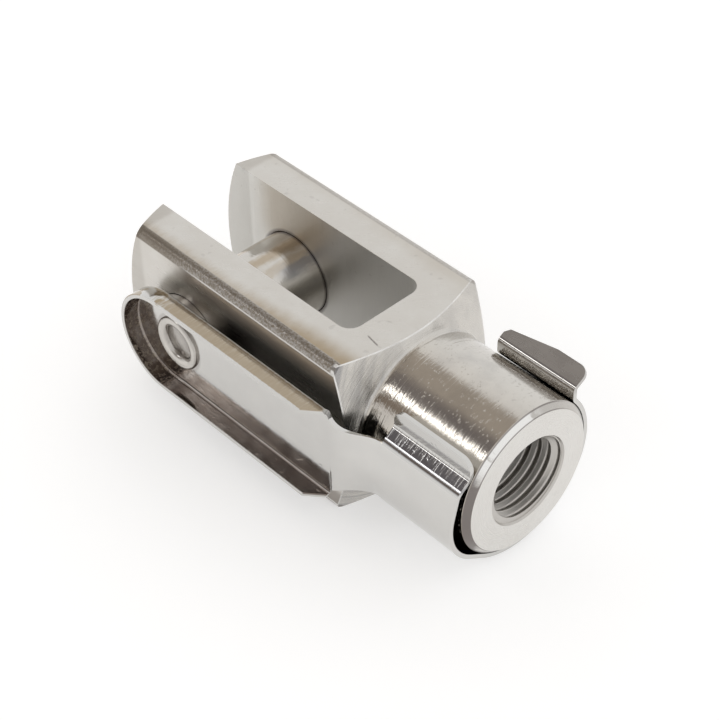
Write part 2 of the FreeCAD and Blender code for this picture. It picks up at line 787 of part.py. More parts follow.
# The tab's corners are rounded first, then its outer edge is trimmed to widen towards the front.
TAB_ROOT_ACROSS = (
    "(%s) * cos(sizes.hug_end_angle * 1 deg)"
    " - sizes.tab_root_round * (1 - cos(sizes.hug_end_angle * 1 deg))"
    " + sizes.tab_bend_round * (1 - sin(sizes.tab_rise * 1 deg))" % HUG_RADIUS
)
TAB_REAR = TAB_ROOT_ACROSS + " + sizes.tab_rear_run * cos(sizes.tab_rise * 1 deg)"
TAB_FRONT = (
    TAB_ROOT_ACROSS + " + sizes.tab_run * cos(sizes.tab_rise * 1 deg)"
    " + sizes.sheet * sin(sizes.tab_rise * 1 deg)"
)
tab_root_across = number(TAB_ROOT_ACROSS)
rounded_tab = round_edges(
    clip, "tab_corners", rounded_lip,
    lambda edge: (
        isinstance(edge.Curve, Part.Line)
        and near(edge.Length, size("sheet"))
        and edge.BoundBox.YMin > tab_root_across + size("sheet")
    ),
    "sizes.tab_corner_round",
)
tab_sketch = new_sketch(clip, "tab_trim_outline", "XY_Plane", "sizes.tab_bend_start")
polygon(tab_sketch, [
    ("sizes.clasp_start", TAB_REAR + " - sizes.tab_rear_break"),
    ("sizes.clasp_start + sizes.tab_rear_break", TAB_REAR),
    ("sizes.clasp_start + sizes.tab_taper_run", TAB_FRONT),
    ("sizes.clasp_start + sizes.tab_taper_run", TAB_FRONT + " + %s" % MARGIN),
    ("sizes.clasp_start - %s" % MARGIN, TAB_FRONT + " + %s" % MARGIN),
    ("sizes.clasp_start - %s" % MARGIN, TAB_REAR + " - sizes.tab_rear_break"),
])
trim = clip.newObject("PartDesign::Pocket", "tab_trim")
trim.Profile = tab_sketch
trim.Reversed = True
trim.setExpression("Length", "sizes.tab_run + %s" % MARGIN)
finish_feature(trim, False)


# The document holds up and every solid is sound before anything is written.
for item in doc.Objects:
    if "Invalid" in item.State or "Error" in item.State:
        raise RuntimeError("%s did not compute" % item.Name)

os.makedirs("parts", exist_ok=True)
for body in (fork, pin, clip):
    if body.Shape.isNull() or not body.Shape.isValid() or len(body.Shape.Solids) != 1:
        raise RuntimeError("%s is not one sound solid" % body.Label)
    body.Shape.exportStep("parts/%s.step" % body.Label)
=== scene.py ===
"""Looks of the rod clevis with a spring clip pin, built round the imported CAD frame."""

import math

import bmesh
import bpy
from mathutils import Euler, Matrix, Vector


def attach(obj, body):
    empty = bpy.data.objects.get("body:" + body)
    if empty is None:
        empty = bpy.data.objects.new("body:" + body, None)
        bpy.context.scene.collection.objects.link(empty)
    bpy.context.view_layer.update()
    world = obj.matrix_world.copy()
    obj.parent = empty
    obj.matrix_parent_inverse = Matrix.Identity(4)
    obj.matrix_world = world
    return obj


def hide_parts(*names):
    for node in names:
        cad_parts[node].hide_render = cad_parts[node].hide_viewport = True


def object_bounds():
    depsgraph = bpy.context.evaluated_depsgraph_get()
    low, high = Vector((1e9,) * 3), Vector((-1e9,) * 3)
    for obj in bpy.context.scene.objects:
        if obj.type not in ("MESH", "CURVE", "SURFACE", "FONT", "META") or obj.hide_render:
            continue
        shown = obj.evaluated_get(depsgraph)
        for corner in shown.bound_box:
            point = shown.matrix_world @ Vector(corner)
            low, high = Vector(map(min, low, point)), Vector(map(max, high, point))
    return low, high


MM = 0.001
DEGREES = 57.3  # in a radian

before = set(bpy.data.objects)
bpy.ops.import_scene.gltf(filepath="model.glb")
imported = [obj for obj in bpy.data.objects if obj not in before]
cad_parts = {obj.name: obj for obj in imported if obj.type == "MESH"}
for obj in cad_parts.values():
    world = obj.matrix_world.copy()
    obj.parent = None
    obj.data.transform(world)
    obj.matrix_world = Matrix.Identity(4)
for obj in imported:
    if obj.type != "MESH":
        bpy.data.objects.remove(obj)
cad_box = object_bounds()

scene = bpy.context.scene
scene.view_settings.view_transform = "Standard"

WHITE = (1, 1, 1, 1)
NICKEL = (0.61, 0.585, 0.545, 1)
TARNISH_AND_REFLECTION = (0.40, 0.325, 0.23, 1)
PALE_NICKEL = (0.69, 0.68, 0.65, 1)
BRIGHT_NICKEL = (0.80, 0.79, 0.77, 1)
DULL_NICKEL = (0.40, 0.38, 0.36, 1)
CHROME = (0.60, 0.59, 0.57, 1)
SOOT_AND_SHADE = (0.20, 0.18, 0.17, 1)
SLATE = (0.23, 0.23, 0.245, 1)
GOLDEN = (0.345, 0.28, 0.195, 1)
STRAW = (0.50, 0.45, 0.37, 1)
UMBER = (0.18, 0.145, 0.125, 1)
BROWNED = (0.215, 0.185, 0.15, 1)


# Wiring of shader trees ---------------------------------------------------------------------

MIX_FACTOR, MIX_FIRST, MIX_SECOND, MIX_RESULT = 0, 6, 7, 2


class Wiring:
    """Short names for the nodes that the finishes are wired from. Lengths are in millimetres."""

    def __init__(self, tree):
        self.tree = tree

    def node(self, kind, **settings):
        made = self.tree.nodes.new(kind)
        for name, value in settings.items():
            setattr(made, name, value)
        return made

    def feed(self, socket, value):
        if isinstance(value, bpy.types.NodeSocket):
            self.tree.links.new(value, socket)
        else:
            socket.default_value = value

    def math(self, operation, *values):
        made = self.node("ShaderNodeMath", operation=operation)
        for socket, value in zip(made.inputs, values):
            self.feed(socket, value)
        return made.outputs[0]

    def add(self, *values):
        total = values[0]
        for value in values[1:]:
            total = self.math("ADD", total, value)
        return total

    def times(self, *values):
        total = values[0]
        for value in values[1:]:
            total = self.math("MULTIPLY", total, value)
        return total

    def rise(self, value, low, high):
        """0 up to low, 1 from high on, and smooth between. High may be the smaller one."""
        made = self.node("ShaderNodeMapRange", interpolation_type="SMOOTHSTEP")
        self.feed(made.inputs["Value"], value)
        made.inputs["From Min"].default_value = low
        made.inputs["From Max"].default_value = high
        return made.outputs[0]

    def band(self, value, start, full, until, end):
        """0 up to start, 1 between full and until, 0 from end on, and smooth between."""
        return self.times(self.rise(value, start, full), self.rise(value, end, until))

    def span(self, value, low, high):
        """Turns a 0 to 1 value into one from low to high."""
        made = self.node("ShaderNodeMapRange")
        self.feed(made.inputs["Value"], value)
        made.inputs["To Min"].default_value = low
        made.inputs["To Max"].default_value = high
        return made.outputs[0]

    def inverse(self, value):
        return self.math("SUBTRACT", 1.0, value)

    def length(self, first, second):
        return self.math("SQRT", self.add(self.times(first, first), self.times(second, second)))

    def colour(self, factor, first, second):
        """The first colour where the factor is 0, the second where it is 1."""
        made = self.node("ShaderNodeMix", data_type="RGBA")
        self.feed(made.inputs[MIX_FACTOR], factor)
        self.feed(made.inputs[MIX_FIRST], first)
        self.feed(made.inputs[MIX_SECOND], second)
        return made.outputs[MIX_RESULT]

    def noise(self, vector, scale, detail=2.0, roughness=0.5):
        made = self.node("ShaderNodeTexNoise")
        self.feed(made.inputs["Vector"], vector)
        self.feed(made.inputs["Scale"], scale)
        made.inputs["Detail"].default_value = detail
        made.inputs["Roughness"].default_value = roughness
        return made.outputs["Fac"]

    def noise_along(self, value, scale, detail=2.0):
        """Noise that changes along one value only."""
        made = self.node("ShaderNodeTexNoise", noise_dimensions="1D")
        self.feed(made.inputs["W"], value)
        self.feed(made.inputs["Scale"], scale)
        made.inputs["Detail"].default_value = detail
        return made.outputs["Fac"]

    def stretched(self, vector, scale, turn=(0, 0, 0)):
        made = self.node("ShaderNodeMapping")
        self.feed(made.inputs["Vector"], vector)
        made.inputs["Rotation"].default_value = [math.radians(angle) for angle in turn]
        made.inputs["Scale"].default_value = scale
        return made.outputs[0]

    def millimetres(self):
        place = self.node("ShaderNodeTexCoord")
        made = self.node("ShaderNodeVectorMath", operation="SCALE")
        self.feed(made.inputs[0], place.outputs["Object"])
        made.inputs["Scale"].default_value = 1.0 / MM
        return made.outputs[0]

    def split(self, vector):
        made = self.node("ShaderNodeSeparateXYZ")
        self.feed(made.inputs[0], vector)
        return made.outputs[0], made.outputs[1], made.outputs[2]

    def bump(self, height, depth):
        """A normal from a height of 0 to 1, where 1 stands for this many millimetres."""
        made = self.node("ShaderNodeBump")
        made.inputs["Strength"].default_value = 1.0
        made.inputs["Distance"].default_value = depth * MM
        self.feed(made.inputs["Height"], height)
        return made.outputs[0]

    def group(self, group, **values):
        made = self.node("ShaderNodeGroup", node_tree=group)
        for name, value in values.items():
            self.feed(made.inputs[name], value)
        return made.outputs


def new_group(name, inputs, outputs):
    """An empty shader node group, as its wiring and the sockets at its two ends."""
    tree = bpy.data.node_groups.new(name, "ShaderNodeTree")
    for socket, kind in inputs.items():
        tree.interface.new_socket(name=socket, in_out="INPUT", socket_type=kind)
    for socket in outputs:
        tree.interface.new_socket(name=socket, in_out="OUTPUT", socket_type="NodeSocketFloat")
    wiring = Wiring(tree)
    start = wiring.node("NodeGroupInput").outputs
    end = wiring.node("NodeGroupOutput").inputs
    return tree, wiring, start, end


def emptied(owner):
    """The wiring of a material or a world, without the nodes that it starts with."""
    owner.use_nodes = True
    owner.node_tree.nodes.clear()
    return Wiring(owner.node_tree)


def new_material(name):
    """A material, its wiring, and the shader that it ends in."""
    material = bpy.data.materials.new(name)
    wiring = emptied(material)
    shader = wiring.node("ShaderNodeBsdfPrincipled")
    output = wiring.node("ShaderNodeOutputMaterial")
    wiring.feed(output.inputs["Surface"], shader.outputs[0])
    return material, wiring, shader


def new_metal(name):
    material, wiring, shader = new_material(name)
    shader.inputs["Metallic"].default_value = 1.0
    return material, wiring, shader


def add_object(name, data):
    made = bpy.data.objects.new(name, data)
    scene.collection.objects.link(made)
    return made


# Finishes that more than one piece shows ----------------------------------------------------

def make_turning():
    """Rings left by a cutting tool: Across is the value that grows from ring to ring."""
    tree, w, start, end = new_group(
        "turning_marks",
        {"Across": "NodeSocketFloat", "Place": "NodeSocketVector", "Pitch": "NodeSocketFloat"},
        ("Rings", "Fine"),
    )
    rate = w.math("DIVIDE", 1.0, start["Pitch"])
    wander = w.times(w.noise(start["Place"], 0.35, 1.0), start["Pitch"], 0.8)
    across = w.add(start["Across"], wander)
    coarse = w.noise_along(across, rate, 2.0)
    fine = w.noise_along(across, w.times(rate, 3.1), 1.0)
    patchy = w.rise(w.noise(start["Place"], 0.55, 2.0), 0.35, 0.65)
    w.feed(end["Rings"], w.times(coarse, w.span(patchy, 0.55, 1.0)))
    w.feed(end["Fine"], fine)
    return tree


def make_hairlines():
    """Fine straight scratches that run along the X of Place."""
    tree, w, start, end = new_group(
        "hairlines",
        {"Place": "NodeSocketVector", "Fineness": "NodeSocketFloat"},
        ("Lines", "Scratches"),
    )
    long_way = w.stretched(start["Place"], (0.045, 1.0, 1.0))
    lines = w.noise(long_way, start["Fineness"], 4.0, 0.65)
    rare = w.noise(w.stretched(start["Place"], (0.09, 1.0, 1.0), (0, 0, 7)), 1.7, 1.0)
    w.feed(end["Lines"], lines)
    w.feed(end["Scratches"], w.rise(rare, 0.66, 0.74))
    return tree


def make_handling():
    """What handling leaves: soft smudges, dull specks, and small nicks."""
    tree, w, start, end = new_group(
        "handling",
        {"Place": "NodeSocketVector", "Size": "NodeSocketFloat"},
        ("Smudges", "Specks", "Nicks"),
    )
    rate = w.math("DIVIDE", 1.0, start["Size"])
    w.feed(end["Smudges"], w.rise(w.noise(start["Place"], rate, 3.0, 0.6), 0.35, 0.72))
    w.feed(end["Specks"], w.rise(w.noise(start["Place"], w.times(rate, 9.0), 2.0, 0.6), 0.55, 0.70))
    nicks = w.rise(w.noise(start["Place"], w.times(rate, 4.3), 1.0), 0.70, 0.76)
    w.feed(end["Nicks"], nicks)
    return tree


TURNING = make_turning()
HAIRLINES = make_hairlines()
HANDLING = make_handling()


# Plating of the fork ------------------------------------------------------------------------

# Pairs of millimetres between which a mask goes from 0 to 1, and some lengths.
BAR_SKIN = (9.955, 9.985)
UNDER_SKIN = (9.985, 9.955)
EAR_SIDE = (9.97, 9.99)
PAST_MOUTH = (5.19, 5.22)
WITHIN_MOUTH = (5.22, 5.19)
WITHIN_SLOT_WALLS = (5.25, 5.20)
BEFORE_SLOT_FLOOR = (20.08, 20.03)
PAST_SLOT_FLOOR = (20.1, 20.15)
CREST = (9.80, 9.86, 9.97, 9.99)
SHOULDER = (22.2, 22.3, 25.1, 25.3)
NECK_SKIN = (8.70, 8.78, 8.86, 8.93)
PIN_HOLE_RIM = (4.95, 5.0, 5.12, 5.55)
NECK_CHAMFER = (39.30, 39.36, 39.96, 39.985)
BAR_SIDE = 20.0
SCRATCH_MIDDLE = (22.5, -4.34)
SCRATCH_ACROSS = (0.18, 0.98)


def make_fork_plating():
    material, w, shader = new_metal("fork_nickel")
    place = w.millimetres()
    x, y, z = w.split(place)
    wide = w.math("ABSOLUTE", y)
    tall = w.math("ABSOLUTE", z)
    radius = w.length(y, z)
    round_sum = w.add(wide, tall)
    greatest = w.math("MAXIMUM", wide, tall)

    flat = w.rise(greatest, *BAR_SKIN)
    rolled = w.times(w.rise(round_sum, 18.85, 19.05), w.rise(x, 24.4, 24.2))
    flat = w.times(flat, w.inverse(rolled))
    inside = w.times(
        w.rise(wide, *WITHIN_SLOT_WALLS), w.rise(x, *BEFORE_SLOT_FLOOR), w.rise(tall, *UNDER_SKIN),
    )
    bore = w.times(w.rise(radius, *WITHIN_MOUTH), w.rise(x, *PAST_SLOT_FLOOR))
    end_face = w.times(w.rise(x, 39.97, 39.99), w.rise(radius, *PAST_MOUTH))
    neck = w.times(w.rise(x, 25.0, 25.2), w.band(radius, *NECK_SKIN))
    shoulder = w.times(
        w.rise(greatest, *UNDER_SKIN), w.band(x, *SHOULDER), w.rise(radius, 8.7, 8.9),
    )
    dome = w.rise(x, -7.0, -7.8)
    near_side = w.rise(y, 1.0, -1.0)
    leaning = w.math("ARCTAN2", w.times(y, -1.0), z)
    pin_seat = w.band(w.length(x, z), *PIN_HOLE_RIM)
    crest_line = w.times(w.band(greatest, *CREST), w.rise(x, 22.2, 22.5))

    # Satin flats: crossing hairlines, tarnish that creeps in from the long edges.
    slant = w.stretched(place, (1, 1, 1), (0, 0, -47))
    brushed = w.group(HAIRLINES, Place=slant, Fineness=4.5)
    along = w.group(HAIRLINES, Place=place, Fineness=3.0)
    handled = w.group(HANDLING, Place=place, Size=4.0)
    from_edge = w.math("SUBTRACT", BAR_SIDE, round_sum)
    lying = w.rise(w.math("SUBTRACT", tall, wide), -0.05, 0.05)
    creep = w.noise(w.stretched(place, (0.6, 0.4, 0.4)), 1.2, 3.0)
    creeping = w.add(from_edge, w.span(creep, 0.5, -0.5), w.times(w.rise(x, 4.0, 23.0), -1.4))
    tarnished = w.times(
        w.rise(creeping, 2.5, -0.4), w.span(lying, 0.15, 1.0), w.span(near_side, 0.25, 1.0),
    )
    teeth = w.noise(w.stretched(place, (3.2, 0.55, 0.55), (0, 0, 12)), 1.9, 2.0, 0.6)
    teeth = w.times(w.rise(teeth, 0.50, 0.62), w.rise(from_edge, 2.8, 1.0), flat, lying, near_side)

    # One deeper scratch beside the slot's end, where the fork was knocked.
    beside = [
        w.times(w.add(value, -middle), share)
        for value, middle, share in zip((x, y), SCRATCH_MIDDLE, SCRATCH_ACROSS)
    ]
    off_line = w.add(*beside)
    scratch = w.times(
        w.rise(w.math("ABSOLUTE", off_line), 0.10, 0.04),
        w.band(x, 21.5, 21.8, 23.2, 23.5), w.rise(z, 9.9, 9.95),
    )

    # Turned faces, and milled slot walls with streaks across the bar.
    neck_rings = w.group(TURNING, Across=x, Place=place, Pitch=0.30)
    face_rings = w.group(TURNING, Across=radius, Place=place, Pitch=0.28)
    milled = w.noise(w.stretched(place, (3.4, 1.0, 0.16)), 1.2, 3.0, 0.6)

    # Rolled long edges: grainy, with a painted highlight line under them and a painted dark
    # reflection band under that line.
    rough_skin = w.noise(place, 4.6, 3.0, 0.65)
    speckle = w.rise(rough_skin, 0.38, 0.64)
    grainy = w.times(rolled, w.span(w.rise(x, -5.0, 4.0), 0.12, 1.0))
    painted_edge_highlight = w.times(
        w.rise(wide, 9.93, 9.96), w.band(tall, 8.94, 9.00, 9.16, 9.24),
        w.band(x, -2.0, 4.0, 24.2, 24.4),
    )
    uneven_x = w.add(x, w.span(creep, -1.5, 1.5))
    painted_side_band = w.times(
        w.rise(wide, *EAR_SIDE), w.band(tall, 6.4, 7.6, 8.94, 9.0),
        w.rise(uneven_x, -3.0, 0.5), near_side,
    )
    painted_clip_reflection = w.times(
        w.rise(wide, *EAR_SIDE), near_side, w.rise(tall, 7.0, 5.5),
        w.rise(uneven_x, -4.0, 1.0), w.rise(x, 12.0, 7.0),
    )

    # Burnished neck: rows of small dints that catch the light, and a mottled root. Painted shade in
    # dark streaks on the shoulder's near, lower side. On the chamfer round the neck's end, painted
    # shade that is darkest on the near side, painted glints, and painted dark lines along its
    # edges.
    dints = w.noise(w.stretched(place, (3.4, 1.5, 1.5)), 1.25, 1.0, 0.5)
    dints = w.times(w.rise(dints, 0.655, 0.72), neck)
    mottled = w.times(w.noise(place, 1.9, 2.0, 0.6), neck, w.rise(x, 30.0, 26.5))
    painted_shoulder_shade = w.noise_along(w.add(w.times(leaning, 4.0), w.times(radius, 0.9)), 0.9, 3.0)
    painted_shoulder_shade = w.times(w.rise(painted_shoulder_shade, 0.35, 0.75), shoulder, w.rise(leaning, 0.25, 0.75))
    chamfer = w.times(w.band(x, *NECK_CHAMFER), w.rise(radius, 7.9, 8.05))
    burr = w.noise(place, 2.2, 2.0, 0.6)
    outboard = w.rise(w.add(y, w.span(burr, -0.6, 0.6)), -6.4, -7.4)
    painted_glints = w.add(w.noise_along(w.times(leaning, 3.2), 1.6, 2.0), w.span(burr, -0.12, 0.12))
    painted_glints = w.times(w.rise(painted_glints, 0.32, 0.44), w.band(leaning, -0.25, 0.05, 0.80, 1.10))
    both_lips = w.math("MAXIMUM", w.rise(x, 39.48, 39.40), w.rise(x, 39.86, 39.94))
    painted_lip_shade = w.times(chamfer, both_lips)

    # Colour.
    shade = w.colour(w.times(handled["Smudges"], 0.35), NICKEL, PALE_NICKEL)
    # Painted light: the neck's end face is painted in a brighter nickel.
    shade = w.colour(w.times(end_face, 0.45), shade, BRIGHT_NICKEL)
    # Painted shade on the chamfer, darkest on its near side, then painted glints and painted dark
    # edge lines.
    painted_chamfer_shade = w.colour(outboard, DULL_NICKEL, SOOT_AND_SHADE)
    shade = w.colour(w.times(chamfer, w.span(outboard, 0.55, 1.0)), shade, painted_chamfer_shade)
    shade = w.colour(w.times(chamfer, painted_glints), shade, BRIGHT_NICKEL)
    shade = w.colour(w.times(painted_lip_shade, w.rise(y, 6.5, 3.0), 0.85), shade, SOOT_AND_SHADE)
    shade = w.colour(w.times(tarnished, flat), shade, TARNISH_AND_REFLECTION)
    shade = w.colour(w.times(teeth, 0.22), shade, TARNISH_AND_REFLECTION)
    shade = w.colour(w.times(scratch, 0.8), shade, SOOT_AND_SHADE)
    grain = w.colour(w.times(speckle, w.span(grainy, 0.1, 0.85)), BROWNED, DULL_NICKEL)
    shade = w.colour(w.times(rolled, w.span(near_side, 0.45, 1.0)), shade, grain)
    # Painted reflection: a dark umber band on the near ear's side, under the rolled edge.
    shade = w.colour(w.times(painted_side_band, 0.6), shade, UMBER)
    # Painted reflection of the clip: umber on the near ear's side beside it.
    shade = w.colour(w.times(painted_clip_reflection, 0.45), shade, UMBER)
    # Painted highlight: a bright line along the lower edge of the rolled strip.
    shade = w.colour(painted_edge_highlight, shade, BRIGHT_NICKEL)
    # Painted light: the slot's inner walls take a paler nickel so that they render brighter.
    shade = w.colour(w.times(inside, 0.8), shade, PALE_NICKEL)
    streaked = w.times(inside, w.span(milled, 0.9, 0.1), w.span(w.rise(x, -4.0, 8.0), 0.0, 0.30))
    shade = w.colour(streaked, shade, DULL_NICKEL)
    # Painted reflection of the pin: brown on the slot walls above it.
    painted_pin_reflection = w.times(inside, w.band(x, -7.0, -3.0, 3.0, 8.0), w.rise(z, 1.0, 5.0))
    shade = w.colour(w.times(painted_pin_reflection, 0.50), shade, TARNISH_AND_REFLECTION)
    shade = w.colour(w.times(pin_seat, w.add(inside, w.times(flat, 0.4)), 0.8), shade, SOOT_AND_SHADE)
    # Painted shade: slate streaks on the shoulder's near, lower side.
    shade = w.colour(w.times(painted_shoulder_shade, 0.6), shade, SLATE)
    shade = w.colour(w.times(crest_line, 0.9), shade, BRIGHT_NICKEL)
    shade = w.colour(w.times(bore, 0.45), shade, DULL_NICKEL)
    smudged = w.times(w.add(neck, shoulder), w.times(handled["Smudges"], 0.5))
    shade = w.colour(smudged, shade, DULL_NICKEL)
    # Painted reflection: brown on the neck's near half.
    shade = w.colour(w.times(neck, w.rise(leaning, -0.3, 0.3), 0.25), shade, TARNISH_AND_REFLECTION)
    shade = w.colour(w.times(handled["Nicks"], lying, 0.25), shade, DULL_NICKEL)
    w.feed(shader.inputs["Base Color"], shade)

    # Roughness.
    grain_lines = w.add(
        w.times(brushed["Lines"], lying), w.times(along["Lines"], w.inverse(lying)),
    )
    satin = w.span(grain_lines, 0.22, 0.36)
    rough = w.add(
        w.times(satin, w.add(flat, dome)),
        w.times(w.span(speckle, 0.42, 0.28), rolled, w.inverse(painted_edge_highlight)),
        w.times(painted_edge_highlight, 0.60),
        w.times(w.span(milled, 0.38, 0.54), inside),
        w.times(w.span(neck_rings["Fine"], 0.08, 0.17), neck),
        w.times(w.span(face_rings["Fine"], 0.20, 0.34), w.add(end_face, shoulder)),
    )
    rough = w.add(rough, w.times(w.span(rough_skin, 0.24, 0.36), bore))
    known = w.add(flat, dome, rolled, inside, neck, end_face, shoulder, bore)
    known = w.math("MINIMUM", known, 1.0)
    rough = w.add(rough, w.times(0.24, w.inverse(known)))
    rough = w.add(
        rough, w.times(handled["Specks"], w.span(lying, 0.0, 0.06)), w.times(tarnished, flat, 0.08),
    )
    w.feed(shader.inputs["Roughness"], w.math("MINIMUM", rough, 0.6))

    # Relief, as heights of a few micrometres.
    hair = w.times(w.add(w.times(brushed["Lines"], lying), w.times(along["Lines"], 0.5)), flat, 0.5)
    scored = w.add(w.times(brushed["Scratches"], lying), along["Scratches"], teeth)
    marks = w.times(scored, flat, -0.25)
    skin = w.times(rough_skin, grainy, 1.8)
    mill = w.times(milled, inside, 1.6)
    round_neck = w.add(neck_rings["Rings"], w.times(neck_rings["Fine"], 0.3))
    on_faces = w.add(face_rings["Rings"], w.times(face_rings["Fine"], 0.4))
    rings = w.add(
        w.times(round_neck, neck, 1.4), w.times(on_faces, w.add(end_face, shoulder), 0.9),
    )
    burnish = w.add(w.times(dints, -1.6), w.times(mottled, 1.3), w.times(burr, chamfer, 2.0))
    height = w.add(
        hair, marks, skin, mill, rings, burnish,
        w.times(scratch, -2.0), w.times(handled["Nicks"], lying, -0.6),
    )
    w.feed(shader.inputs["Normal"], w.bump(height, 0.012))
    return material


# Plating of the pin -------------------------------------------------------------------------

HEAD_SIDE = (-11.0, -11.2)


def make_pin_plating():
    material, w, shader = new_metal("pin_nickel")
    place = w.millimetres()
    x, y, z = w.split(place)
    radius = w.length(x, z)
    round_rings = w.group(TURNING, Across=y, Place=place, Pitch=0.26)
    face_rings = w.group(TURNING, Across=radius, Place=place, Pitch=0.22)
    handled = w.group(HANDLING, Place=place, Size=3.0)
    face = w.add(w.rise(y, -10.2, -10.5), w.rise(y, 10.3, 10.5))
    shade = w.colour(w.times(handled["Smudges"], 0.35), NICKEL, DULL_NICKEL)

    # Long bands of painted reflection, brown and blue-grey, where the pin shows between the ears.
    turned_by = w.times(w.math("ARCTAN2", x, z), DEGREES)
    ragged = w.span(w.noise(w.stretched(place, (1.0, 0.35, 1.0)), 1.1, 3.0, 0.6), -9.0, 9.0)
    band_place = w.add(turned_by, ragged)
    open_part = w.rise(w.math("ABSOLUTE", y), 5.8, 5.3)
    painted_brown_bands = w.add(
        w.band(band_place, -60.0, -44.0, -33.0, -22.0),
        w.band(band_place, -4.0, 4.0, 10.0, 19.0),
        w.times(w.band(band_place, 18.0, 25.0, 27.0, 35.0), 0.6),
        w.times(w.rise(band_place, 150.0, 165.0), 0.8),
    )
    shade = w.colour(w.times(painted_brown_bands, open_part, 0.8), shade, TARNISH_AND_REFLECTION)
    painted_grey_band = w.times(w.band(band_place, 24.0, 33.0, 42.0, 54.0), w.rise(y, -0.4, 2.2))
    shade = w.colour(w.times(painted_grey_band, open_part, 0.85), shade, SLATE)
    bowl = w.times(w.rise(radius, 2.35, 2.0), w.rise(y, *HEAD_SIDE))
    crown = w.times(w.rise(radius, 2.9, 3.15), w.rise(y, *HEAD_SIDE))
    # Painted shade: darker in the bowl of the swaged head and round its rim.
    painted_head_shade = w.times(
        w.add(w.times(bowl, 0.6), w.times(crown, 0.5)), w.span(handled["Smudges"], 0.5, 1.0),
    )
    shade = w.colour(painted_head_shade, shade, SOOT_AND_SHADE)
    w.feed(shader.inputs["Base Color"], shade)
    rough = w.add(
        w.times(w.span(face_rings["Fine"], 0.14, 0.26), face),
        w.times(w.span(round_rings["Fine"], 0.06, 0.14), w.inverse(face)),
        w.times(handled["Specks"], 0.05),
    )
    w.feed(shader.inputs["Roughness"], rough)
    height = w.add(
        w.times(
            w.add(round_rings["Rings"], w.times(round_rings["Fine"], 0.3)), w.inverse(face), 0.8,
        ),
        w.times(w.add(face_rings["Rings"], w.times(face_rings["Fine"], 0.3)), face, 0.9),
        w.times(handled["Nicks"], -0.4),
    )
    w.feed(shader.inputs["Normal"], w.bump(height, 0.010))
    return material


# Bright sheet of the clip -------------------------------------------------------------------

CHANNEL_SETBACK = 1.2
CHANNEL_SIDE = (-10.9, -11.3)
CHANNEL_DEPTH = (-13.56, -13.50, -11.62, -11.48)
LOWER_WALL = (-5.95, -5.80, -5.58, -5.45)
END_WALL = (5.45, 5.58, 5.80, 5.95)


